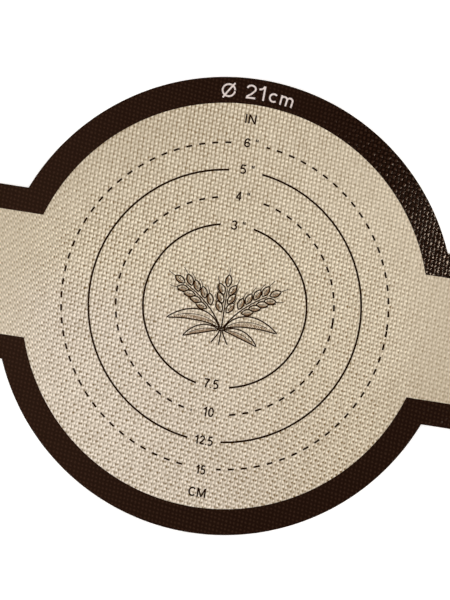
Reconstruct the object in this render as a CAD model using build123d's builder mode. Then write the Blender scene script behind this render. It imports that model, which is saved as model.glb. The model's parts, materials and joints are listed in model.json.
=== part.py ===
from build123d import *
import math
import os

# Outline of the mat. Lengths are in millimetres.
disc_diameter = 210.0          # the round part, edge to edge
overall_length = 680.0         # one strap's free end to the other's
strap_width = 79.4
strap_corner_radius = 15.0     # at a strap's free end

# The laminate, from the underside up
lower_coat_thickness = 0.15
cloth_thickness = 0.4
upper_coat_thickness = 0.15
cloth_inset = 0.8              # the coats meet outside the cloth's cut edge

# The ink border that follows the outline
disc_border_width = 11.9
strap_border_width = 11.25
border_corner_radius = 4.0     # its inner corners at a strap's free end
border_ink_thickness = 0.06

# The printed measuring rings, drawn for 3 to 6 inches in round millimetres
ring_inches = {"inner_ring": 3, "second_ring": 4, "third_ring": 5, "outer_ring": 6}
unit_mark_band = 18.1          # bare between the outer ring and the border, for the unit marks
dashed_rings = ("second_ring", "outer_ring")
ring_line_width = 0.85
ring_ink_thickness = 0.05
dash_length = 2.8
dash_pitch = 6.0
numeral_gap = 15.3             # left open on both sides of the disc for the ring's numerals

# The bend lines, straight across each strap
bend_setback = 24.8            # from the corner where a strap leaves the disc to the first line
bend_spacing = 40.0
bend_gap = 0.2                 # open between the lengths on each side of a line
strap_places = ("inner", "middle", "outer")

cut_overrun = 5.0              # how far a cutting shape reaches past what it cuts

# Places that follow from the sizes above
cloth_base = lower_coat_thickness
mat_top = lower_coat_thickness + cloth_thickness + upper_coat_thickness
strap_corner = math.sqrt((disc_diameter / 2) ** 2 - (strap_width / 2) ** 2)
first_bend = strap_corner + bend_setback
bend_lines = [first_bend + index * bend_spacing for index in range(len(strap_places))]
outer_ring_diameter = disc_diameter - 2 * (disc_border_width + unit_mark_band)


def mat_plan(disc_inset, strap_inset, corner_radius):
    """The plan of the whole mat, drawn in from its cut edge on the disc and along the straps."""
    with BuildSketch() as plan:
        Rectangle(overall_length - 2 * strap_inset, strap_width - 2 * strap_inset)
        fillet(plan.vertices(), corner_radius)
        Circle(disc_diameter / 2 - disc_inset)
    return plan.sketch


def length_of(plan, start, end):
    """The length of a plan that lies between two places along the mat."""
    with BuildSketch() as length:
        with Locations(((start + end) / 2, 0)):
            Rectangle(end - start, disc_diameter + cut_overrun)
        add(plan, mode=Mode.INTERSECT)
    return length.sketch


def ring_plan(diameter, dashed):
    """A measuring ring, open at its numerals, as one line or as dashes."""
    with BuildSketch() as ring:
        Circle((diameter + ring_line_width) / 2)
        Circle((diameter - ring_line_width) / 2, mode=Mode.SUBTRACT)
        if dashed:
            cut_dashes(diameter / 2)
        Rectangle(numeral_gap, diameter + cut_overrun, mode=Mode.SUBTRACT)
    return ring.sketch


def cut_dashes(radius):
    """Opens the gaps of a dashed ring. The dashes start at +X and run clockwise at a fixed pitch,
    so the last one, or the gap after it, is cut short where the ring closes."""
    gap = dash_pitch - dash_length
    whole = int(2 * math.pi * radius // dash_pitch)
    first = math.degrees((dash_length + gap / 2) / radius)
    sweep = math.degrees(whole * dash_pitch / radius)
    with PolarLocations(radius, whole, start_angle=-first, angular_range=-sweep):
        Rectangle(2 * ring_line_width, gap, mode=Mode.SUBTRACT)
    last_gap = 2 * math.pi * radius - whole * dash_pitch - dash_length
    if last_gap > 0:
        with PolarLocations(radius, 1, start_angle=math.degrees(last_gap / 2 / radius)):
            Rectangle(2 * ring_line_width, last_gap, mode=Mode.SUBTRACT)


def save(piece, name):
    piece.part.label = name
    export_step(piece.part, f"parts/{name}.step")


os.makedirs("parts", exist_ok=True)

outline = mat_plan(0, 0, strap_corner_radius)
cloth_outline = mat_plan(cloth_inset, cloth_inset, strap_corner_radius - cloth_inset)
border_opening = mat_plan(disc_border_width, strap_border_width, border_corner_radius)

# The mat is divided at its bend lines: the disc, and three lengths of each strap.
lengths = {"disc": (bend_gap / 2 - first_bend, first_bend - bend_gap / 2)}
ends = bend_lines + [overall_length / 2 + bend_gap]
for place, inner_end, outer_end in zip(strap_places, ends, ends[1:]):
    start = inner_end + bend_gap / 2
    end = outer_end - bend_gap / 2
    lengths[f"right_strap_{place}"] = (start, end)
    lengths[f"left_strap_{place}"] = (-end, -start)

for body, (start, end) in lengths.items():
    whole_width = length_of(outline, start, end)
    cloth_width = length_of(cloth_outline, start, end)
    open_width = length_of(border_opening, start, end)

    with BuildPart() as lower_coat:
        with BuildSketch():
            add(whole_width)
        extrude(amount=lower_coat_thickness)
    save(lower_coat, f"{body}_lower_coat")

    with BuildPart() as glass_cloth:
        with BuildSketch(Plane.XY.offset(cloth_base)):
            add(cloth_width)
        extrude(amount=cloth_thickness)
    save(glass_cloth, f"{body}_glass_cloth")

    # The upper coat lies on the cloth and closes down past its cut edge to the lower coat.
    with BuildPart() as upper_coat:
        with BuildSketch(Plane.XY.offset(cloth_base)):
            add(whole_width)
        extrude(amount=cloth_thickness + upper_coat_thickness)
        with BuildSketch(Plane.XY.offset(cloth_base)):
            add(cloth_width)
        extrude(amount=cloth_thickness, mode=Mode.SUBTRACT)
    save(upper_coat, f"{body}_upper_coat")

    with BuildPart() as border:
        with BuildSketch(Plane.XY.offset(mat_top)):
            add(whole_width)
            add(open_width, mode=Mode.SUBTRACT)
        extrude(amount=border_ink_thickness)
    save(border, f"{body}_border")

for name, inches in ring_inches.items():
    diameter = outer_ring_diameter * inches / ring_inches["outer_ring"]
    with BuildPart() as ring:
        with BuildSketch(Plane.XY.offset(mat_top)):
            add(ring_plan(diameter, name in dashed_rings))
        extrude(amount=ring_ink_thickness)
    save(ring, name)

print("bend lines at", [round(place, 3) for place in bend_lines])
print("hinge height", round(mat_top + border_ink_thickness, 3))
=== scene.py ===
import json
import math

import bmesh
import bpy
import numpy as np
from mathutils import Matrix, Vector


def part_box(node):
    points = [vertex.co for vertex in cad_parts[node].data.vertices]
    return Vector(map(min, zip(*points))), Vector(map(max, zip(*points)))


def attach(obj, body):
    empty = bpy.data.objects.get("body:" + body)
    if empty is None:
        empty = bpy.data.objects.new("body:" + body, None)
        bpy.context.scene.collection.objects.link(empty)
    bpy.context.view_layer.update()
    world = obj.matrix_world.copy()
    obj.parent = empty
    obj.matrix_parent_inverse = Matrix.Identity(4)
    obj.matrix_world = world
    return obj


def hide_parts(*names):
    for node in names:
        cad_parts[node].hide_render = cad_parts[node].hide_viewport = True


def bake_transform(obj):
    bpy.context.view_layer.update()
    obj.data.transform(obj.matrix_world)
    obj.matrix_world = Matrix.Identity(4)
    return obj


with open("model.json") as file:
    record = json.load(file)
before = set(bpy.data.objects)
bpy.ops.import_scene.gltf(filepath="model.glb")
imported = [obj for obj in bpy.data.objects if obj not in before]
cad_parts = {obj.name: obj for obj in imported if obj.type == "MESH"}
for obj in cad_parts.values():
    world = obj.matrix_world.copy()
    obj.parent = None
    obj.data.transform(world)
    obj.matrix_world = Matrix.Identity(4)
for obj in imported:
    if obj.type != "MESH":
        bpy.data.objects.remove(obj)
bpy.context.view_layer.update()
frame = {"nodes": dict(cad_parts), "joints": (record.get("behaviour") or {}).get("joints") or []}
mm = 0.001

# The mat's own sizes. What the frame can tell is read from it.
mat = {
    "radius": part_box("disc_upper_coat")[1].y,
    "strapHalf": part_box("right_strap_middle_upper_coat")[1].y,
    "tip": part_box("right_strap_outer_upper_coat")[1].x,
    "tipCorner": 15 * mm,
    "top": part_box("disc_upper_coat")[1].z,
    "inkTop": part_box("disc_border")[1].z,
    "ringTop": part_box("outer_ring")[1].z,
    "discBorder": 11.9 * mm,
    "strapBorder": 11.25 * mm,
    "openingCorner": 4 * mm,
    "bends": sorted(joint["pos_m"][0] for joint in frame["joints"] if joint["pos_m"][0] > 0),
}
mat["openRadius"] = mat["radius"] - mat["discBorder"]
mat["openHalf"] = mat["strapHalf"] - mat["strapBorder"]
mat["openTip"] = mat["tip"] - mat["strapBorder"]
mat["outerJoin"] = math.sqrt(mat["radius"] ** 2 - mat["strapHalf"] ** 2)
mat["innerJoin"] = math.sqrt(mat["openRadius"] ** 2 - mat["openHalf"] ** 2)


# Shapes shared by all the pieces of the mat

def smooth(value, start, end):
    # 0 before start, 1 after end, and a cubic ease between them
    t = np.clip((value - start) / (end - start), 0, 1)
    return t * t * (3 - 2 * t)


lie = {                         # how the mat lies: heights and places in metres
    "flatReach": 104 * mm,      # nothing lifts nearer to the middle than this
    "riseLength": 30 * mm,      # from there to the full lift
    # a swell on the right strap, then the left: height, place, spread, share on the middle line, by side
    "swells": [(4.6 * mm, 140 * mm, 36 * mm, 0.56, 0.44), (1.6 * mm, 158 * mm, 34 * mm, 0.6, -0.4)],
    "sideLimit": 1.2,           # in half widths
    "tipCurl": 4.2 * mm,
    "curlStart": 235 * mm,
    "curlShare": (0.85, 0.15),  # on the middle line, and more by side
}


def liftAt(x, y):
    # A bell along each strap, weighted to one side of it, and a square-law curl towards the free end
    reach = np.abs(x)
    free = smooth(reach, lie["flatReach"], lie["flatReach"] + lie["riseLength"])
    side = np.clip(y / mat["strapHalf"], -lie["sideLimit"], lie["sideLimit"])
    right, left = [height * np.exp(-((reach - place) / spread) ** 2) * (middle + bySide * side)
                   for height, place, spread, middle, bySide in lie["swells"]]
    curl = np.clip((reach - lie["curlStart"]) / (mat["tip"] - lie["curlStart"]), 0, 1) ** 2
    middle, bySide = lie["curlShare"]
    curl = lie["tipCurl"] * curl * (middle + bySide * side * np.sign(x))
    return free * np.where(x > 0, right, left) + curl


def outerHalf(x):
    # half the mat's width at x: the disc's circle, then the strap, then the rounded corner at its end
    reach = np.abs(x)
    circle = np.sqrt(np.maximum(mat["radius"] ** 2 - reach ** 2, 0))
    past = np.clip(reach - (mat["tip"] - mat["tipCorner"]), 0, mat["tipCorner"])
    strap = mat["strapHalf"] - mat["tipCorner"] + np.sqrt(mat["tipCorner"] ** 2 - past ** 2)
    return np.maximum(circle, strap)


def innerHalf(x):
    # half the width that the border leaves open at x
    circle = np.sqrt(np.maximum(mat["openRadius"] ** 2 - x ** 2, 0))
    return np.maximum(circle, mat["openHalf"])


slab = {
    "spacing": 1 * mm,          # of the columns of points, near the disc
    "tipSpacing": 1.5 * mm,     # and towards a strap's end
    "cornerSteps": 16,
    "rows": 72,                 # across the top and the underside
    "edgeRadius": 0.12 * mm,    # of the cut edge's two arrises
    "arrisSteps": 3,
}


def columnsBetween(start, end):
    # places along x, evenly spaced between the corners that the outline and the border have
    marks = [0, mat["innerJoin"], mat["outerJoin"]]
    marks = sorted({sign * mark for mark in marks for sign in (-1, 1)})
    stops = [start] + [mark for mark in marks if start < mark < end] + [end]
    runs = []
    for low, high in zip(stops, stops[1:]):
        steps = max(1, math.ceil((high - low) / slab["spacing"]))
        runs.append(np.linspace(low, high, steps, endpoint=False))
    return np.append(np.concatenate(runs), end)


def columnsToTip(start):
    # even to where the end's corners begin, then at equal angles round them
    corner = mat["tip"] - mat["tipCorner"]
    angles = np.linspace(0, math.pi / 2, slab["cornerSteps"] + 1)
    steps = math.ceil((corner - start) / slab["tipSpacing"])
    straight = np.linspace(start, corner, steps, endpoint=False)
    return np.concatenate([straight, corner + mat["tipCorner"] * np.sin(angles)])


sharpAngle = math.radians(35)   # a sharper turn between two faces is shaded as an edge


def addObject(name, data):
    thing = bpy.data.objects.new(name, data)
    bpy.context.scene.collection.objects.link(thing)
    return thing


def makePiece(name, points, faces, materials, faceMaterial=None):
    # A mesh object at the origin. Its UV map is its place on the flat mat, in metres.
    mesh = bpy.data.meshes.new(name)
    mesh.from_pydata(points.tolist(), [], faces)
    shell = bmesh.new()
    shell.from_mesh(mesh)
    bmesh.ops.recalc_face_normals(shell, faces=shell.faces)
    shell.to_mesh(mesh)
    shell.free()
    corners = np.zeros(len(mesh.loops), dtype=np.int32)
    mesh.loops.foreach_get("vertex_index", corners)
    flatPlace = mesh.uv_layers.new(name="flatPlace")
    flatPlace.data.foreach_set("uv", points[corners, :2].ravel())
    for material in materials:
        mesh.materials.append(material)
    if faceMaterial is not None:
        mesh.polygons.foreach_set("material_index", faceMaterial)
    mesh.shade_smooth()
    mesh.set_sharp_from_angle(angle=sharpAngle)
    return addObject(name, mesh)


def loopFaces(columns, around, closed=False):
    # quads between each closed loop of points and the next, and the two end faces unless it closes
    here = np.arange(columns if closed else columns - 1)[:, None] * around
    there = (here + around) % (columns * around)
    step = np.arange(around)[None, :]
    following = (step + 1) % around
    quads = np.stack([here + step, here + following, there + following, there + step], axis=2)
    return quads.reshape(-1, 4).tolist()


def slabPiece(name, columns, materials):
    # One closed section, top, cut edge, underside, cut edge, carried along x at the mat's own width
    radius, rows = slab["edgeRadius"], slab["rows"]
    turn = np.linspace(math.pi / 2, 0, slab["arrisSteps"] + 1)
    edgeOut = np.concatenate([np.cos(turn), np.cos(turn[::-1])]) * radius
    edgeUp = np.concatenate([mat["top"] - radius + np.sin(turn) * radius,
                             radius - np.sin(turn[::-1]) * radius])
    edgeOut, edgeUp = edgeOut[1:-1], edgeUp[1:-1]       # their ends belong to the top and the underside
    across = np.linspace(-1, 1, rows)
    half = (outerHalf(columns) - radius)[:, None]
    y = np.hstack([half * across, half + edgeOut, half * across[::-1], -half - edgeOut[::-1]])
    x = np.broadcast_to(columns[:, None], y.shape)
    rise = np.concatenate([np.full(rows, mat["top"]), edgeUp, np.zeros(rows), edgeUp[::-1]])
    points = np.stack([x, y, rise + liftAt(x, y)], axis=2).reshape(-1, 3)
    around, edge = y.shape[1], len(edgeOut)
    faces = loopFaces(len(columns), around)
    underside = np.zeros(around, dtype=np.int32)
    underside[rows + edge:2 * rows + edge - 1] = 1
    faceMaterial = np.tile(underside, len(columns) - 1).tolist()
    for start in (0, len(points) - around):
        top = start + np.arange(rows)
        bottom = start + rows + edge + np.arange(rows)[::-1]
        caps = np.stack([top[:-1], top[1:], bottom[1:], bottom[:-1]], axis=1).tolist()
        rightEdge = [int(top[-1]), *range(start + rows, start + rows + edge), int(bottom[-1])]
        leftEdge = [int(bottom[0]), *range(start + 2 * rows + edge, start + around), int(top[0])]
        faces += caps + [rightEdge, leftEdge]
        faceMaterial += [0] * (len(caps) + 2)
    return makePiece(name, points, faces, materials, faceMaterial)


band = {
    "rows": 9,
    "bevel": 0.05 * mm,         # the ink's soft inner edge
    "innerDrop": 0.04 * mm,     # from the ink's top down to that edge
    "outerDrop": 0.05 * mm,     # and to where the ink turns down over the cut edge
    "sunk": 0.01 * mm,          # into the coat, so that no gap shows
    "lap": 0.17 * mm,           # how far the ink runs down over the cut edge
    "proud": 0.012 * mm,        # of the cut edge
    "behind": (0.03 * mm, 0.2 * mm),        # the cut edge, where the section closes
    "tipSteps": (90, 23),       # along a strap's outer length, and across half its end
}


def bandPiece(name, inner, outer, material):
    # The ink's section, from its inner edge out and down over the cut edge, carried along two matching paths
    reach = outer - inner
    width = np.linalg.norm(reach, axis=1)[:, None]
    outward = reach / width
    surface = band["bevel"] + (width - 2 * band["bevel"]) * np.linspace(0, 1, band["rows"])
    edgeOut = np.array([band["proud"], band["proud"], *(-place for place in band["behind"])])
    along = np.hstack([np.zeros((len(width), 2)), surface, width + edgeOut])
    top, inkTop = mat["top"], mat["inkTop"]
    rise = np.array([top - band["sunk"], inkTop - band["innerDrop"], *[inkTop] * band["rows"],
                     inkTop - band["outerDrop"], top - band["lap"], top - band["lap"], top - band["sunk"]])
    x = inner[:, :1] + outward[:, :1] * along
    y = inner[:, 1:] + outward[:, 1:] * along
    points = np.stack([x, y, rise + liftAt(x, y)], axis=2).reshape(-1, 3)
    around = along.shape[1]
    faces = loopFaces(len(width), around)
    faces += [list(range(around)), list(range(len(points) - around, len(points)))]
    return makePiece(name, points, faces, [material])


def arcPath(centre, radius, start, end, steps):
    # points on a circle at equal angles, both ends among them
    angles = np.radians(np.linspace(start, end, steps + 1))
    return np.stack([centre[0] + radius * np.cos(angles), centre[1] + radius * np.sin(angles)], axis=1)


def tipPaths(start):
    # the border's inner and outer edges from one side of the strap round its end to the other side
    paths = []
    sideSteps, endSteps = band["tipSteps"]
    for half, tip, corner in ((mat["openHalf"], mat["openTip"], mat["openingCorner"]),
                              (mat["strapHalf"], mat["tip"], mat["tipCorner"])):
        run = np.linspace(start, tip - corner, sideSteps, endpoint=False)
        side = np.stack([run, np.full_like(run, half)], axis=1)
        turn = arcPath((tip - corner, half - corner), corner, 90, 0, slab["cornerSteps"])
        across = np.linspace(half - corner, 0, endSteps + 1)[1:]
        end = np.stack([np.full_like(across, tip), across], axis=1)
        quarter = np.concatenate([side, turn, end])
        paths.append(np.concatenate([quarter, quarter[-2::-1] * [1, -1]]))
    return paths


# Shader maths

class Wire:
    # A socket that takes part in Python arithmetic: each operator adds one Math node

    def __init__(self, tree, socket):
        self.tree = tree
        self.socket = socket

    def math(self, operation, *values):
        node = self.tree.nodes.new("ShaderNodeMath")
        node.operation = operation
        for socket, value in zip(node.inputs, values):
            if isinstance(value, Wire):
                self.tree.links.new(value.socket, socket)
            else:
                socket.default_value = value
        return Wire(self.tree, node.outputs[0])

    def __add__(self, other):
        return self.math("ADD", self, other)

    def __sub__(self, other):
        return self.math("SUBTRACT", self, other)

    def __rsub__(self, other):
        return self.math("SUBTRACT", other, self)

    def __mul__(self, other):
        return self.math("MULTIPLY", self, other)

    def __truediv__(self, other):
        return self.math("DIVIDE", self, other)

    __radd__ = __add__
    __rmul__ = __mul__

    def absolute(self):
        return self.math("ABSOLUTE", self)

    def cosine(self):
        return self.math("COSINE", self)

    def whole(self):
        # the nearest whole number
        return self.math("ROUND", self)

    def wave(self):
        # 1 at every whole number and 0 half way between
        return (self * (2 * math.pi)).cosine() * 0.5 + 0.5

    def held(self, low, high):
        return self.math("MINIMUM", self.math("MAXIMUM", self, low), high)

    def clamped(self):
        return self.held(0.0, 1.0)

    def between(self, start, end):
        # the cubic ease from start to end
        t = ((self - start) / (end - start)).clamped()
        return t * t * (3 - 2 * t)


class Finish:
    # A node tree to which node() adds one node: its type, its settings, then its sockets' values or links

    def __init__(self, owner):
        owner.use_nodes = True
        self.tree = owner.node_tree
        self.tree.nodes.clear()

    def node(self, kind, settings=None, sockets=None, output=0):
        node = self.tree.nodes.new("ShaderNode" + kind)
        for setting, value in (settings or {}).items():
            setattr(node, setting, value)
        for socket, value in (sockets or {}).items():
            if isinstance(value, Wire):
                self.tree.links.new(value.socket, node.inputs[socket])
            else:
                node.inputs[socket].default_value = value
        return Wire(self.tree, node.outputs[output])

    def mix(self, factor, first, second):
        return self.node("Mix", {"data_type": "RGBA"}, {0: factor, 6: first, 7: second}, output=2)

    def noise(self, place, scale, detail=1.0, roughness=0.5):
        # noise about 0
        sockets = {"Vector": place, "Scale": scale, "Detail": detail, "Roughness": roughness}
        return self.node("TexNoise", {"noise_dimensions": "3D"}, sockets) - 0.5

    def bump(self, height, depth):
        return self.node("Bump", None, {"Strength": 1.0, "Distance": depth, "Height": height})


def colour(red, green, blue):
    # an sRGB colour from 0 to 255, as the linear values that a socket takes
    share = np.array([red, green, blue]) / 255
    linear = np.where(share <= 0.04045, share / 12.92, ((share + 0.055) / 1.055) ** 2.4)
    return (*linear.tolist(), 1.0)


def newFinish(name):
    material = bpy.data.materials.new(name)
    return material, Finish(material)


def output(finish, shader, kind="OutputMaterial"):
    node = finish.tree.nodes.new("ShaderNode" + kind)
    finish.tree.links.new(shader.socket, node.inputs["Surface"])


regions = {                     # of the mat: what measures it, where it begins and is whole, in millimetres
    "nearSide": ("y", -10, -60),
    "farSide": ("y", 20, 70),
    "leftStrap": ("x", -62, -92),
    "rightStrap": ("x", 62, 92),
    "farEdge": ("y", 5, 55),
    "sideEdges": ("reach", 58, 86),
    "straps": ("reach", 72, 104),
    "rimAway": ("away", 54, 88),            # these three together are the disc's far rim
    "rimSide": ("y", -10, 45),
    "rimReach": ("reach", 5, 60),
    "nearHalf": ("y", 18, -18),             # these two together are its cooler part
    "nearLeft": ("slant", 50, -60),
    "printSide": ("side", 28, 29.4),        # the edges of the border print, seen from underneath
    "printEnd": ("reach", 328, 329.5),
    "printDisc": ("away", 92, 94.2),
    "strapRoot": ("reach", 88, 97),
    "lampAcross": ("x", 10, 80),            # where the lamps meet the ink's crowns, and where highlight and shade are painted on them
    "lampAlong": ("y", -40, 20),
    "lampEdge": ("x", 75, 98),
}

cloth = {                       # the weave, in millimetres and degrees
    "columnPitch": 1.77,
    "rowPitch": 1.90,
    "rowSkew": math.tan(math.radians(8)),
    "wander": (0.35, 0.035),    # how far the yarns stray from straight, and the scale of it
    "raggedness": 0.85,
    "raggedScales": (0.42, 0.38),
    "noiseShift": (37.0, 11.0, 0.0),        # between noises that may not look alike
    "driftLimit": 100.0,        # the slow changes along x end there
    "waves": {                  # strength, lag, and by what share the strength changes in each region; these changes paint how the light falls on the relief
        "columns": (0.105, 0, {"leftStrap": -0.65, "rightStrap": 0.2}),
        "rows": (0.125, 0, {"farSide": -0.15, "bothStraps": -0.2}),
        "diagonal": (0.062, 40, {"farSide": -0.35, "heldX": -0.002, "leftStrap": 0.5}),
        "otherDiagonal": (0.018, 180, {"nearSide": 2}),
        "twill": (0.06, 0, {"bothStraps": -0.4}),
        "ticks": (0.06, 110, {"farSide": -0.8, "leftStrap": 0.7}),
        "joins": (0.036, 55, {"farSide": -0.6, "leftStrap": 3}),
        "slant": (0.05, -145, {"rightStrap": -0.7}),
        "flatCrowns": (0.045, 180, {}),
    },
    "columnDrift": (1.09, -0.0037, 0.0045),     # of the columns' strength: in the middle, by x and by y
    "rowUnevenness": (1.2, 0.22),           # its share and its scale
    "edgeLag": 45,              # of the diagonal wave near the edges, past its own
    "twillLag": -1,             # for each millimetre of x
    "strength": 1.5,
    "unevenness": (2, 0.45),    # of all the waves: its share and its scale
    "crowns": (0.65, 0.175),    # how high a crossing of two crowns is, and a single one
    "streaks": (0.58, 0.42),    # along the columns and along the rows
    "streakScales": (0.5, 0.07),            # across a streak and along it
    "fine": (2.0, 2.0, 0.7),    # scale, detail and roughness of the grain
    "broad": (0.02, 3.0, 0.55),             # and of the slow changes
}


def region(field, name):
    measure, start, whole = regions[name]
    return field[measure].between(start, whole)


def weave(finish, place):
    # Two sets of yarns on a skewed grid. Their brightness is a sum of waves: across the columns, across the
    # rows, along both diagonals of the crossings, and the overtones that make the short dark joins. Besides
    # the cloth's own light and dark, the waves paint the shading of its relief, stronger or weaker by region
    # as the light falls.
    millimetres = finish.node("VectorMath", {"operation": "SCALE"}, {0: place, "Scale": 1000.0})
    x, y = [finish.node("SeparateXYZ", None, {0: millimetres}, output=axis) for axis in (0, 1)]
    aside = finish.node("VectorMath", {"operation": "ADD"}, {0: millimetres, 1: cloth["noiseShift"]})
    wander, scale = cloth["wander"]
    stray = finish.noise(millimetres, scale) * wander
    ragged, raggedRow = [finish.noise(at, scale) * cloth["raggedness"]
                         for at, scale in zip((millimetres, aside), cloth["raggedScales"])]
    column = (x + stray * 2 + ragged) / cloth["columnPitch"]
    row = (y + x * cloth["rowSkew"] - stray + raggedRow) / cloth["rowPitch"]
    field = {
        "millimetres": millimetres,
        "x": x,
        "y": y,
        "reach": x.absolute(),
        "heldX": x.held(-cloth["driftLimit"], cloth["driftLimit"]),
        "column": column,
        "row": row,
    }
    for name in ("nearSide", "farSide", "leftStrap", "rightStrap"):
        field[name] = region(field, name)
    field["bothStraps"] = field["leftStrap"] + field["rightStrap"]

    columnTurn, rowTurn = column * (2 * math.pi), row * (2 * math.pi)
    diagonal, otherDiagonal = (column - row) * math.pi, (column + row) * math.pi
    nearEdge = (region(field, "farEdge") + region(field, "sideEdges")).clamped()
    turns = {
        "columns": columnTurn,
        "rows": rowTurn,
        "diagonal": diagonal - nearEdge * math.radians(cloth["edgeLag"]),
        "otherDiagonal": otherDiagonal,
        "twill": diagonal * 2 + field["heldX"] * math.radians(cloth["twillLag"]),
        "ticks": columnTurn + diagonal,
        "joins": otherDiagonal * 2,
        "slant": columnTurn + otherDiagonal,
        "flatCrowns": columnTurn * 2,
    }
    middle, byX, byY = cloth["columnDrift"]
    uneven, scale = cloth["rowUnevenness"]
    evenness = {
        "columns": middle + field["heldX"] * byX + y * byY,
        "rows": 1 + finish.noise(aside, scale) * uneven,
    }
    waves = 0
    for name, (share, lag, changes) in cloth["waves"].items():
        strength = sum((field[place] * change for place, change in changes.items()), 1)
        wave = (turns[name] - math.radians(lag)).cosine() * share * strength
        waves += wave * evenness[name] if name in evenness else wave
    uneven, scale = cloth["unevenness"]
    field["waves"] = waves * cloth["strength"] * (1 + finish.noise(aside, scale) * uneven)

    crossing, single = cloth["crowns"]
    field["pearl"] = column.wave() * row.wave() * crossing + (column.wave() + row.wave()) * single
    acrossScale, alongScale = cloth["streakScales"]
    lengthwise = finish.node("VectorMath", {"operation": "MULTIPLY"},
                             {0: millimetres, 1: (acrossScale, alongScale, acrossScale)})
    crosswise = finish.node("CombineXYZ", None, {0: x * alongScale, 1: row})
    field["yarns"] = sum(finish.noise(at, 1.0) * share
                         for at, share in zip((lengthwise, crosswise), cloth["streaks"]))
    field["fine"] = finish.noise(millimetres, *cloth["fine"])
    field["broad"] = finish.noise(millimetres, *cloth["broad"])
    return field


onSheet = ("UVMap", {"uv_map": "flatPlace"}, None, 0)
onObject = ("TexCoord", None, None, 3)

coat = {
    "valley": (colour(111, 83, 32), colour(110, 85, 38)),       # the cloth's own dark valleys with painted shade in them: warm, and cooler towards the near left
    # the cloth's own light pearls with a painted highlight on their tops
    "pearl": (colour(251, 238, 214), colour(252, 239, 222)),
    "middle": 0.55,             # of the way from the shaded valley to the lit pearl
    "yarns": 0.4,               # how much these add to the waves of the weave
    "fine": 0.5,
    "onStraps": 0.55,           # how strongly the weave shows there
    "farRimFade": 0.25,
    "leftFade": 0.15,
    "farFade": 0.1,
    "broad": 0.08,
    "edgeDim": 0.04,            # towards both long edges, by the square of the share of edgeReach
    "edgeReach": 87,
    "slopes": (-0.0002, -0.00017, 0.000012),    # painted light, brighter towards the left and the near side: for each millimetre of x and of y, and for x times y
    "strapDim": 0.035,
    "coolSlant": 0.6,
    "coolOnStraps": 0.3,
    "showThrough": 0.2,         # of the border, on the underside
    "through": colour(96, 76, 58),
    "relief": 0.03 * mm,
    "fineRelief": 0.12,
    "roughness": 0.5,
    "fineRoughness": 0.16,
    "specular": 0.35,
}


def coatFinish(name, underside=False):
    material, finish = newFinish(name)
    field = weave(finish, finish.node(*onSheet))
    field["away"] = finish.node("VectorMath", {"operation": "LENGTH"}, {0: field["millimetres"]}, output=1)
    field["slant"] = field["x"] + field["y"] * coat["coolSlant"]
    onStrap = region(field, "straps")
    farRim = region(field, "rimAway") * region(field, "rimSide") * region(field, "rimReach")
    fade = field["leftStrap"] * coat["leftFade"] + field["farSide"] * coat["farFade"]
    strength = (1 - (1 - coat["onStraps"]) * onStrap) * (1 - coat["farRimFade"] * farRim) * (1 - fade)
    detail = field["waves"] + field["yarns"] * coat["yarns"] + field["fine"] * coat["fine"]
    acrossShare = field["y"] / coat["edgeReach"]
    level = detail * strength + coat["middle"] + field["broad"] * coat["broad"]
    level -= acrossShare * acrossShare * coat["edgeDim"] + onStrap * coat["strapDim"]
    # painted light: a slow fall of brightness across the mat
    byX, byY, byBoth = coat["slopes"]
    level += field["heldX"] * byX + field["y"] * byY + field["heldX"] * field["y"] * byBoth
    cool = region(field, "nearHalf") * region(field, "nearLeft") * (1 - (1 - coat["coolOnStraps"]) * onStrap)
    valley = finish.mix(cool, *coat["valley"])
    pearl = finish.mix(cool, *coat["pearl"])
    # painted shade in the weave's valleys and painted light on its pearls, over the cloth's own light and
    # dark
    tone = finish.mix(level.clamped(), valley, pearl)
    if underside:
        # the border printed on the other face shows through a little
        field["side"] = field["y"].absolute()
        onBorder = (region(field, "printSide") + region(field, "printEnd")).clamped()
        outside = region(field, "printDisc") * (1 - region(field, "strapRoot") * (1 - onBorder))
        tone = finish.mix(outside * coat["showThrough"], tone, coat["through"])
    shader = finish.node("BsdfPrincipled", None, {
        "Base Color": tone,
        "Roughness": coat["roughness"] + field["fine"] * coat["fineRoughness"],
        "Specular IOR Level": coat["specular"],
        "Normal": finish.bump(field["pearl"] + field["fine"] * coat["fineRelief"], coat["relief"]),
    })
    output(finish, shader)
    return material


inks = {
    "border": {
        "place": onSheet, "base": colour(32, 17, 10), "thin": colour(66, 45, 33), "thinShare": 0.5,
        "relief": 0.045 * mm, "roughness": 0.14, "specular": 0.25,
    },
    "ring": {
        "place": onObject, "base": colour(30, 11, 0), "thin": colour(54, 28, 8), "thinShare": 0.25,
        "relief": 0.02 * mm, "roughness": 0.6, "specular": 0.05,
    },
    "tan": {
        "place": onObject, "base": colour(132, 104, 76), "thin": colour(166, 140, 112), "thinShare": 0.5,
        "relief": 0.02 * mm, "roughness": 0.6, "specular": 0.1,
    },
    "pale": {
        "place": onObject, "base": colour(222, 208, 202), "thin": colour(186, 168, 158), "thinShare": 0.5,
        "relief": 0.02 * mm, "roughness": 0.5, "specular": 0.2,
    },
}

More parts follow.
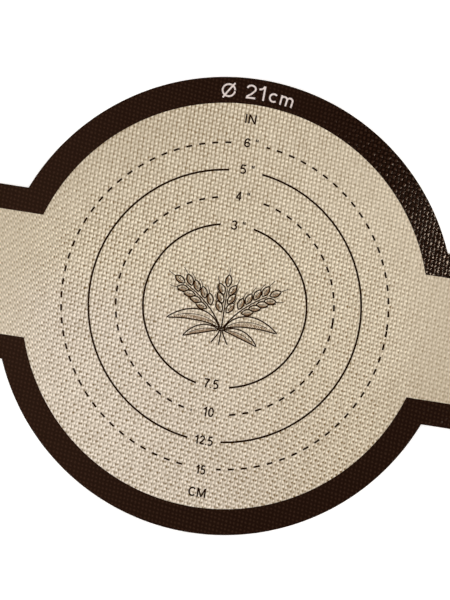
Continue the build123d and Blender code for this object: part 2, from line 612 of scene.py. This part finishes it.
wearAndPaintedLight = {                        # what all the inks share: their wear, and the painted highlight and shade where the lamps meet them
    "otherCrowns": 0.45,        # the height of the lower crowns
    "crownSlant": 0.32,
    "crownHalf": 0.42,          # of the spacing of the yarns
    "start": -0.5,              # the ink is thin where this and the next two add up
    "pearl": 1.7,
    "fine": 2.6,
    "warmth": (0.3, -0.004, -0.0006),       # by the slow changes, and for each millimetre of x and of y
    "warmthSpan": (-100.0, 20.0),
    # painted highlight: the crowns lighter where the lamps meet them
    "crownWear": 1.3,
    # painted shade: the dark colour between the crowns where the lamps meet them
    "deep": colour(13, 3, 0),
    "shade": 0.8,               # painted shade: how much of that dark colour lies between the crowns, where the lamps meet them
    "swell": (1.9, 0.4),        # the uneven thickness: its share and its scale
    "fineRelief": 0.06,
    "fineRoughness": 0.15,
    "edgeGloss": 0.05,
}


def crowns(field):
    # The yarns' crowns: round across, bowed along, and higher at every second crossing
    column, row = field["column"].whole(), field["row"].whole()
    beside = field["row"] - row
    across = (field["column"] - column - beside * wearAndPaintedLight["crownSlant"]) / wearAndPaintedLight["crownHalf"]
    along = beside * 2
    evenCrossing = ((column + row) * math.pi).cosine()
    rise = (1 + wearAndPaintedLight["otherCrowns"]) / 2 + evenCrossing * ((1 - wearAndPaintedLight["otherCrowns"]) / 2)
    return (1 - across * across).clamped() * (1 - along * along) * rise


def inkFinish(kind):
    # ink that is thinner, and so lighter, on the crowns of the yarns, and keeps the cloth's relief; where the
    # lamps meet it, painted highlights on the crowns and painted shade between them
    ink = inks[kind]
    material, finish = newFinish(kind + "Ink")
    field = weave(finish, finish.node(*ink["place"]))
    worn = (field["pearl"] * wearAndPaintedLight["pearl"] + field["fine"] * wearAndPaintedLight["fine"] + wearAndPaintedLight["start"]).clamped()
    bySlow, byX, byY = wearAndPaintedLight["warmth"]
    warmth = field["broad"] * bySlow + field["x"].held(*wearAndPaintedLight["warmthSpan"]) * byX + field["y"] * byY
    tone = finish.mix(((worn + warmth) * ink["thinShare"]).clamped(), ink["base"], ink["thin"])
    onTop = crowns(field)
    paintedLightZone = region(field, "lampAcross") * region(field, "lampAlong")
    # painted highlight: the crowns lighter where the lamps meet the ink
    tone = finish.mix((onTop * paintedLightZone * ink["thinShare"] * wearAndPaintedLight["crownWear"]).clamped(), tone, ink["thin"])
    # painted shade: darker between the crowns where the lamps meet the ink
    tone = finish.mix((1 - onTop) * paintedLightZone * wearAndPaintedLight["shade"], tone, wearAndPaintedLight["deep"])
    share, scale = wearAndPaintedLight["swell"]
    height = onTop + finish.noise(field["millimetres"], scale) * share + field["fine"] * wearAndPaintedLight["fineRelief"]
    gloss = region(field, "lampEdge") * wearAndPaintedLight["edgeGloss"]
    shader = finish.node("BsdfPrincipled", None, {
        "Base Color": tone,
        "Roughness": ink["roughness"] + field["fine"] * wearAndPaintedLight["fineRoughness"] - gloss,
        "Specular IOR Level": ink["specular"],
        "Normal": finish.bump(height, ink["relief"]),
    })
    output(finish, shader)
    return material


finishes = {"coat": coatFinish("siliconeCoat"), "under": coatFinish("siliconeUnderside", underside=True)}
for kind in inks:
    finishes[kind] = inkFinish(kind)
print("finishes:", len(finishes))

# The laminate sheets. The seams between them lie across the straps, half way between the bend lines.
blendReach = 10 * mm            # on each side of a bend line
seamSetback = 20 * mm           # from a bend line towards the middle
seams = [bend - seamSetback for bend in mat["bends"]]
floorName = "worktop"
sheets = []


def planArea(columns):
    # the width summed along x
    width = 2 * outerHalf(columns)
    return float(np.sum((width[1:] + width[:-1]) / 2 * np.diff(columns)))


def sideBand(name, columns, sign):
    # the border print along one side, from its opening to the cut edge
    opening, edge = [np.stack([columns, sign * half(columns)], axis=1) for half in (innerHalf, outerHalf)]
    return bandPiece(name, opening, edge, finishes["border"])


discColumns = columnsBetween(-seams[0], seams[0])
discSheet = slabPiece("discSheet", discColumns, [finishes["coat"], finishes["under"]])
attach(discSheet, "disc")
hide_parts("disc_lower_coat", "disc_glass_cloth", "disc_upper_coat")
discBands = []
for sideName, sign in (("far", 1), ("near", -1)):
    piece = sideBand(sideName + "DiscBorder", discColumns, sign)
    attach(piece, "disc")
    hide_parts("disc_border")
    discBands.append(piece)
sheets.append((discSheet, 2 * mat["radius"], discColumns, discBands))

for side, sign in (("right", 1), ("left", -1)):
    bodies = ["disc"] + [f"{side}_strap_{place}" for place in ("inner", "middle", "outer")]
    for index, (start, end) in enumerate(zip(seams, seams[1:] + [mat["tip"]])):
        parent, child = bodies[index], bodies[index + 1]
        place = child.rsplit("_", 1)[1].capitalize()
        last = end == mat["tip"]
        columns = columnsToTip(start) if last else columnsBetween(start, end)
        placed = sign * columns[::sign]
        sheet = slabPiece(f"{side}{place}Sheet", placed, [finishes["coat"], finishes["under"]])
        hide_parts(f"{child}_lower_coat", f"{child}_glass_cloth", f"{child}_upper_coat")
        if last:
            opening, edge = (path * [sign, 1] for path in tipPaths(start))
            bands = [bandPiece(f"{side}EndBorder", opening, edge, finishes["border"])]
        else:
            bands = [sideBand(f"{side}{place}{sideName}Border", placed, across)
                     for sideName, across in (("Far", 1), ("Near", -1))]
        bend = sign * mat["bends"][index]
        reach = sign * blendReach
        for piece in (sheet, *bands):
            bend - reach
            bend + reach
            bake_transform(piece)
        for piece in bands:
            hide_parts(f"{child}_border")
        sheets.append((sheet, 2 * mat["strapHalf"], columns, bands))
print("sheets:", len(sheets))

# Printed marks

ribbonBase = mat["top"] - 0.01 * mm


def normals(path, closed=False):
    # unit normals to the left of a path
    if closed:
        along = np.roll(path, -1, axis=0) - np.roll(path, 1, axis=0)
    else:
        along = np.gradient(path, axis=0)
    along /= np.linalg.norm(along, axis=1)[:, None]
    return np.stack([-along[:, 1], along[:, 0]], axis=1)


def ribbon(path, width, top, closed=False, base=ribbonBase):
    # a flat strip of print: the path moved to both sides along its normals, and given its thickness
    path = np.asarray(path, dtype=float)
    shift = normals(path, closed) * (np.broadcast_to(width, len(path)) / 2)[:, None]
    left, right = path + shift, path - shift
    low, high = np.full((len(path), 1), base), np.full((len(path), 1), top)
    corners = [(left, low), (left, high), (right, high), (right, low)]
    points = np.stack([np.hstack(corner) for corner in corners], axis=1).reshape(-1, 3)
    faces = loopFaces(len(path), 4, closed)
    if not closed:
        faces += [[0, 1, 2, 3], list(range(len(points) - 4, len(points)))]
    return points, faces


def joined(name, strips, material):
    # many strips of print as one piece
    points = np.concatenate([strip[0] for strip in strips])
    starts = np.cumsum([0] + [len(strip[0]) for strip in strips[:-1]]).tolist()
    faces = [[corner + start for corner in face] for start, strip in zip(starts, strips) for face in strip[1]]
    return makePiece(name, points, faces, [material])


def staggered(top, index, levels, drop):
    # a height a hair below the top, so that strokes which cross have tops that don't coincide
    return top - (index % levels) * drop


arcStep = 11                    # degrees between the points of an arc


def arc(x, y, wide, high, start, end):
    # points at equal angles on an ellipse about x, y
    t = np.radians(np.linspace(start, end, max(5, round(abs(end - start) / arcStep)) + 1))
    return np.stack([x + wide * np.cos(t), y + high * np.sin(t)], axis=1)


def quadratic(start, middle, end, steps):
    # the curve that leaves start towards middle and arrives at end
    t = np.linspace(0, 1, steps + 1)[:, None]
    return (1 - t) ** 2 * np.array(start) + 2 * t * (1 - t) * np.array(middle) + t ** 2 * np.array(end)


# A plain monoline type: each character's width and its strokes' centre lines, at a height of 1
typeStrokes = {
    "0": (0.56, [arc(0.28, 0.5, 0.21, 0.43, 0, 348)]),
    "1": (0.50, [quadratic((0.05, 0.74), (0.26, 0.76), (0.28, 0.99), 5), [(0.31, 1), (0.31, 0)]]),
    "2": (0.56, [np.vstack([arc(0.28, 0.69, 0.2, 0.24, 168, -28), [(0.3, 0.34), (0.11, 0.17), (0.08, 0.07)]]),
                 [(0.04, 0.07), (0.51, 0.07)]]),
    "3": (0.56, [arc(0.27, 0.72, 0.19, 0.21, 168, -84), arc(0.27, 0.285, 0.22, 0.22, 86, -168)]),
    "4": (0.58, [[(0.41, 0), (0.41, 1)], [(0.385, 0.97), (0.05, 0.3)], [(0.0, 0.26), (0.57, 0.26)]]),
    "5": (0.56, [[(0.13, 0.93), (0.49, 0.93)], [(0.15, 0.95), (0.1, 0.48)],
                 arc(0.26, 0.3, 0.225, 0.27, 138, -130)]),
    "6": (0.56, [arc(0.29, 0.49, 0.225, 0.44, 38, 192), arc(0.28, 0.3, 0.205, 0.23, 0, 348)]),
    "7": (0.54, [[(0.03, 0.93), (0.53, 0.93)], quadratic((0.49, 0.9), (0.25, 0.6), (0.19, 0), 8)]),
    ".": (0.22, [[(0.1, 0), (0.1, 0.12)]]),
    "I": (0.26, [[(0.11, 0), (0.11, 1)]]),
    "N": (0.72, [[(0.08, 0), (0.08, 1)], [(0.1, 0.98), (0.58, 0.02)], [(0.6, 0), (0.6, 1)]]),
    "C": (0.72, [arc(0.36, 0.5, 0.29, 0.43, 44, 316)]),
    "M": (0.84, [[(0.08, 0), (0.08, 1)], [(0.1, 0.98), (0.4, 0.04)],
                 [(0.4, 0.04), (0.7, 0.98)], [(0.72, 0), (0.72, 1)]]),
    "O": (0.84, [arc(0.38, 0.5, 0.3, 0.42, 0, 350), [(0.08, 0.0), (0.68, 1.0)]]),
    "c": (0.52, [arc(0.26, 0.34, 0.19, 0.27, 48, 312)]),
    "m": (0.78, [[(0.07, 0), (0.07, 0.68)],
                 np.vstack([arc(0.21, 0.42, 0.14, 0.19, 175, 0), [(0.35, 0.2), (0.35, 0.0)]]),
                 np.vstack([arc(0.49, 0.42, 0.14, 0.19, 175, 0), [(0.63, 0.2), (0.63, 0.0)]])]),
    "'": (0.5, [[(0.1, 0), (0.1, 1)], [(0.4, 0), (0.4, 1)]]),
    " ": (0.26, []),
}
typeSetting = {
    "gap": 0.04,                # between characters
    "levels": 5,                # of the strokes' tops
    "drop": 0.0015 * mm,        # from one to the next
}


def typeLines(text, height, width, centre, line):
    # the strokes of a line of type, so scaled that its ink has the given height and width about its centre
    paths, pen = [], 0
    for character in text:
        advance, strokes = typeStrokes[character]
        paths += [np.array(stroke, dtype=float) + [pen, 0] for stroke in strokes]
        pen += advance + typeSetting["gap"]
    low = min(path[:, 0].min() for path in paths)
    high = max(path[:, 0].max() for path in paths)
    scale = np.array([(width - line) / (high - low), height])
    return [(path - [(low + high) / 2, 0.5]) * scale + centre for path in paths]


def typeStrips(paths, line, top, base=ribbonBase):
    tops = [staggered(top, index, typeSetting["levels"], typeSetting["drop"]) for index in range(len(paths))]
    return [ribbon(path, line, height, base=base) for path, height in zip(paths, tops)]


numerals = {                    # text, height, width, and its centre, in millimetres
    "line": 0.68,
    "marks": [
        ("3", 4.2, 2.9, (-1.4, 37.3)), ("4", 4.1, 3.1, (-1.4, 50.8)),
        ("5", 4.1, 2.9, (-1.3, 63.3)), ("6", 4.1, 2.9, (-1.3, 75.5)),
        ("7.5", 4.2, 7.0, (-0.7, -36.1)), ("10", 4.4, 5.2, (0.0, -49.1)),
        ("12.5", 4.1, 8.6, (-0.1, -62.2)), ("15", 4.1, 4.6, (0.6, -75.7)),
        ("IN", 4.2, 5.0, (-1.4, 86.4)), ("CM", 4.2, 8.0, (0.6, -86.2)),
    ],
    "inchNumerals": 4,          # the first so many
    "inchMark": (1.2, 1.25, (4.3, 1.5)),    # its height, width, and its place from the numeral's
    "inchLine": 0.5,
}


def setMarks(marks, line):
    # the strips of several lines of type, whose sizes are in millimetres
    strips = []
    for text, height, width, centre in marks:
        paths = typeLines(text, height * mm, width * mm, np.array(centre) * mm, line * mm)
        strips += typeStrips(paths, line * mm, mat["ringTop"])
    return strips


inchHeight, inchWidth, inchAway = numerals["inchMark"]
inchPlaces = [np.add(centre, inchAway) for *_, centre in numerals["marks"][:numerals["inchNumerals"]]]
inchStrips = setMarks([("'", inchHeight, inchWidth, place) for place in inchPlaces], numerals["inchLine"])
ringNumerals = joined("ringNumerals", setMarks(numerals["marks"], numerals["line"]), finishes["ring"])
inchMarks = joined("inchMarks", inchStrips, finishes["ring"])

sizeMark = {
    "text": "O 21cm",           # its O is drawn with the stroke of a diameter sign
    "height": 6.6 * mm,
    "width": 33.5 * mm,
    "line": 0.8 * mm,
    "middle": 98.9 * mm,        # the radius of its arc
    "bendPoints": 6,            # of a straight stroke, so that it follows the arc
    "top": 0.04 * mm,           # from the border's top
    "base": -0.01 * mm,
}


def bentMark():
    # the line of type bent round the disc: its length becomes an angle and its height a radius
    paths = typeLines(sizeMark["text"], sizeMark["height"], sizeMark["width"], (0, 0), sizeMark["line"])
    bent = []
    for path in paths:
        if len(path) == 2:
            path = path[0] + np.linspace(0, 1, sizeMark["bendPoints"])[:, None] * (path[1] - path[0])
        angle = path[:, 0] / sizeMark["middle"]
        distance = sizeMark["middle"] + path[:, 1]
        bent.append(np.stack([distance * np.sin(angle), distance * np.cos(angle)], axis=1))
    top, base = mat["inkTop"] + sizeMark["top"], mat["inkTop"] + sizeMark["base"]
    return typeStrips(bent, sizeMark["line"], top, base)


borderMark = joined("borderSizeMark", bentMark(), finishes["pale"])

wheat = {                       # the ears in the middle, in millimetres
    "line": 0.58,
    "veinLine": 0.3,
    "hatchLine": 0.34,
    "hatchShare": (0.1, 0.75),  # where a hatch starts and ends on the way from the leaf's edge to its spine
    "stem": (200, 8, 194),      # its steps, how many lie between the points drawn, and where it stops
    "taper": (1.1, 0.8),        # of the stem's line, from its foot up
    "kernel": (5.9, 1.45),      # length, half width
    "kernelStart": 0.06,        # of its length
    "kernelPoints": 15,
    "kernelHatches": range(3, 12),          # the points of its spine that carry one
    "kernelVein": slice(3, 11),
    "spacing": 4.1,             # of the kernels along a stem
    "spread": 30,               # degrees between a kernel and the stem
    "footAside": 0.95,          # of a kernel from the middle of the stem
    "awnTurn": 0.4,             # the share of the spread that is left at an awn's tip
    "ears": [                   # the stem's control points, its share below the kernels, the awns' length
        ((0.0, -10.0), (0.0, 0.0), (0.0, 8.6), 0.36, 3.2),
        ((0.7, -10.0), (6.5, 0.5), (19.5, 7.6), 0.40, 3.6),
        ((-0.7, -10.0), (-6.5, 0.5), (-19.5, 7.6), 0.40, 3.6),
    ],
    "leaves": [                 # the spine's three control points and the half width
        ((1.4, -10.0), (10.0, -2.0), (25.5, -9.0), 2.5), ((-1.4, -10.0), (-10.0, -2.0), (-25.5, -9.0), 2.5),
        ((1.2, -11.2), (9.0, -10.0), (17.0, -16.2), 1.8), ((-1.2, -11.2), (-9.0, -10.0), (-17.0, -16.2), 1.8),
    ],
    "leafSteps": 32,
    "leafHatches": range(4, 30),
    "leafVein": slice(2, 28),
    "stalks": [((-0.6, -11.2), (-1.2, -13.5), (-3.8, -17.4)), ((0.0, -11.2), (0.2, -14.0), (-0.2, -18.0)),
               ((0.6, -11.2), (1.2, -13.5), (3.8, -17.4))],
    "bands": [-11.2, -10.5, -9.8],
    "bandShape": [(-1.8, 0.1), (0, -0.15), (1.8, 0.1)],
    "leafSwell": 0.8,           # the power of the sine that gives a leaf its width
    "awnSteps": 5,
    "stalkSteps": 9,
    "levels": 7,                # of the strokes' tops
    "hatchLevels": 5,
    "hatchDrop": 0.012 * mm,    # of the shading below the lines
    "drop": 0.001 * mm,         # from one level to the next
}


def leafShape(spine, halfWidth):
    # both edges of a leaf: the spine moved sideways by a sine of the place along it
    swell = halfWidth * np.sin(math.pi * np.linspace(0, 1, len(spine))) ** wheat["leafSwell"]
    shift = normals(spine) * swell[:, None]
    return spine + shift, spine - shift


def heading(angle):
    return np.array([math.cos(angle), math.sin(angle)])


def wheatDrawing():
    strokes, hatches = [], []
    hatchTop = mat["ringTop"] - wheat["hatchDrop"]

    def stroke(path, width=wheat["line"], closed=False):
        top = staggered(mat["ringTop"], len(strokes), wheat["levels"], wheat["drop"])
        strokes.append(ribbon(np.asarray(path) * mm, np.asarray(width) * mm, top, closed))

    def leaf(spine, halfWidth, places, vein):
        left, right = leafShape(spine, halfWidth)
        shadedEdge = right if right[:, 1].sum() < left[:, 1].sum() else left
        stroke(np.concatenate([left[:-1], right[:0:-1]]), closed=True)
        for place in places:
            start, end = shadedEdge[place], spine[place + 1]
            path = np.array([start + (end - start) * share for share in wheat["hatchShare"]])
            top = staggered(hatchTop, len(hatches), wheat["hatchLevels"], wheat["drop"])
            hatches.append(ribbon(path * mm, wheat["hatchLine"] * mm, top))
        stroke(spine[vein], wheat["veinLine"])

    length, halfWidth = wheat["kernel"]
    spread = math.radians(wheat["spread"])
    stemSteps, stride, stop = wheat["stem"]
    kernelShares = np.linspace(wheat["kernelStart"], 1, wheat["kernelPoints"])[:, None]
    for start, middle, end, bare, awn in wheat["ears"]:
        stem = quadratic(start, middle, end, stemSteps)
        distance = np.append(0, np.cumsum(np.linalg.norm(np.diff(stem, axis=0), axis=1)))
        shown = stem[:stop:stride]
        stroke(shown, np.linspace(*wheat["taper"], len(shown)) * wheat["line"])
        places = np.arange(bare * distance[-1], distance[-1] - 1, wheat["spacing"])
        for place in np.append(places, distance[-1]):
            nearby = min(np.searchsorted(distance, place), len(stem) - 2)
            stemAngle = math.atan2(*(stem[nearby + 1] - stem[nearby - 1])[::-1])
            # the last kernel stands on the stem's end, the others in pairs at its sides
            for turn in (0,) if place == distance[-1] else (-1, 1):
                angle = stemAngle + turn * spread
                foot = stem[nearby] + heading(stemAngle + turn * math.pi / 2) * wheat["footAside"] * abs(turn)
                spine = foot + kernelShares * heading(angle) * length
                leaf(spine, halfWidth, wheat["kernelHatches"], wheat["kernelVein"])
                tip, along = spine[-1], heading(angle) * awn
                bent = heading(stemAngle + turn * spread * wheat["awnTurn"]) * awn
                awnPath = quadratic(tip, tip + along / 2, tip + (along + bent) / 2, wheat["awnSteps"])
                stroke(awnPath, wheat["veinLine"])
    for start, middle, end, leafHalf in wheat["leaves"]:
        spine = quadratic(start, middle, end, wheat["leafSteps"])
        leaf(spine, leafHalf, wheat["leafHatches"], wheat["leafVein"])
    for start, middle, end in wheat["stalks"]:
        stroke(quadratic(start, middle, end, wheat["stalkSteps"]))
    for height in wheat["bands"]:
        stroke([(across, height + bow) for across, bow in wheat["bandShape"]])
    return strokes, hatches


wheatStrokes, wheatHatches = wheatDrawing()
earLines = joined("wheatLines", wheatStrokes, finishes["ring"])
earShading = joined("wheatShading", wheatHatches, finishes["tan"])

printed = [ringNumerals, inchMarks, borderMark, earLines, earShading]
for piece in printed:
    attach(piece, "disc")
for name in ("inner_ring", "second_ring", "third_ring", "outer_ring"):
    ringMesh = frame["nodes"][name].data
    ringMesh.materials.clear()
    ringMesh.materials.append(finishes["ring"])
print("printed marks:", len(printed))

# Each sheet is one length of the same cut. Its area follows its outline.
for piece, width, columns, bands in sheets:
    length = float(columns.max() - columns.min())
    together = bands + (printed if piece is discSheet else [])
    planArea(columns)

# Worktop, light and camera

studio = {
    "floorSize": 8.0,
    "floorHeight": -0.1 * mm,
    "floorColour": colour(240, 240, 240),
    "floorGlow": 0.38,          # near the mat; the worktop is seen as white further out
    "glowSpan": (0.45, 1.3),
    "skyLow": 1.0,
    "skyHigh": 0.02,
    "skySpan": (0.35, 0.7),     # the sine of the height at which the room turns dim
    "mirroredDim": 0.6,
    "sideLamps": {35: 8.7, 125: 9.7, 215: 10.7, 305: 9.7},      # azimuth and power
    "sideDistance": 1.45,
    "sideHeight": 0.9,
    "sideSize": (0.9, 0.9),
    "glintLamp": 0.8,
    "glintPlace": (0.415, 0.122, 1.0),      # straight above what it lights
    "glintSize": (0.05, 0.12),
    "glintTint": (1, 0.8, 0.62),
}

floorMesh = bpy.data.meshes.new(floorName)
half = studio["floorSize"] / 2
floorCorners = [(-half, -half), (half, -half), (half, half), (-half, half)]
floorMesh.from_pydata([(*corner, studio["floorHeight"]) for corner in floorCorners], [], [(0, 1, 2, 3)])
floor = addObject(floorName, floorMesh)
floorMaterial, floorFinish = newFinish("whiteWorktop")
seen = floorFinish.node("LightPath", output=0)
floorPlace = floorFinish.node(*onObject)
distance = floorFinish.node("VectorMath", {"operation": "LENGTH"}, {0: floorPlace}, output=1)
nearGlow = (*[studio["floorGlow"]] * 3, 1)
glowColour = floorFinish.mix(distance.between(*studio["glowSpan"]), nearGlow, (1, 1, 1, 1))
glow = floorFinish.node("Emission", None, {"Color": glowColour, "Strength": 1.0})
dark = floorFinish.node("Emission", None, {"Color": (0, 0, 0, 1), "Strength": 0.0})
top = floorFinish.node("MixShader", None, {0: seen, 1: dark, 2: glow})
matte = floorFinish.node("BsdfDiffuse", None, {"Color": studio["floorColour"], "Roughness": 0.0})
output(floorFinish, floorFinish.node("AddShader", None, {0: matte, 1: top}))
floorMesh.materials.append(floorMaterial)


# The room is white low down and dim overhead, so that the ink stays dark seen from above.
# It is white where it is seen itself, and its reflection in the ink is held back.
world = bpy.data.worlds.new("room")
bpy.context.scene.world = world
sky = Finish(world)
direction = sky.node("TexCoord", None, None, 0)
height = sky.node("SeparateXYZ", None, {0: direction}, output=2)
overhead = height.between(*studio["skySpan"])
seen, mirrored = (sky.node("LightPath", output=number) for number in (0, 3))
skyLevel = studio["skyLow"] * (1 - overhead) + overhead * studio["skyHigh"]
skyLevel = seen + (1 - seen) * skyLevel * (1 - mirrored * studio["mirroredDim"])
output(sky, sky.node("Background", None, {"Color": (1, 1, 1, 1), "Strength": skyLevel}), "OutputWorld")


def lamp(name, place, target, size, power, tint=(1, 1, 1)):
    # a rectangular soft lamp turned towards its target
    light = bpy.data.lights.new(name, "AREA")
    light.shape = "RECTANGLE"
    light.size, light.size_y = size
    light.energy = power
    light.color = tint
    holder = addObject(name, light)
    holder.location = place
    aim = np.array(target) - np.array(place)
    flat = math.hypot(aim[0], aim[1])
    holder.rotation_euler = (math.atan2(flat, -aim[2]), 0, math.atan2(-aim[0], aim[1]))
    holder.visible_camera = False
    return holder


for number, (azimuth, power) in enumerate(studio["sideLamps"].items()):
    across, along = heading(math.radians(azimuth)) * studio["sideDistance"]
    place = (across, along, studio["sideHeight"])
    soft = lamp(f"sideLamp{number}", place, (0, 0, 0), studio["sideSize"], power)
    soft.visible_glossy = False
below = (*studio["glintPlace"][:2], 0)
lamp("glintLamp", studio["glintPlace"], below, studio["glintSize"], studio["glintLamp"], studio["glintTint"])

view = {
    "height": 0.42,             # over the print
    "turn": math.radians(8.9),
    "centre": (0.0916 * mm, 2.749 * mm),    # of the picture, along the camera's right and up
    "longSide": 274.85 * mm,    # what the picture's height takes in
    "halfSensor": 18,           # of the camera's film, in its own millimetres
    "clip": (0.01, 100),
}
camera = bpy.data.cameras.new("camera")
camera.lens = view["halfSensor"] / (view["longSide"] / 2 / view["height"])
camera.clip_start, camera.clip_end = view["clip"]
holder = addObject("camera", camera)
right = heading(view["turn"])
up = np.array([-right[1], right[0]])
place = right * view["centre"][0] + up * view["centre"][1]
holder.location = (*place, view["height"] + mat["ringTop"])
holder.rotation_euler = (0, 0, view["turn"])
bpy.context.scene.camera = holder
bpy.context.scene.view_settings.view_transform = "Standard"
print("stage: worktop, five lamps and camera")

bpy.context.view_layer.update()
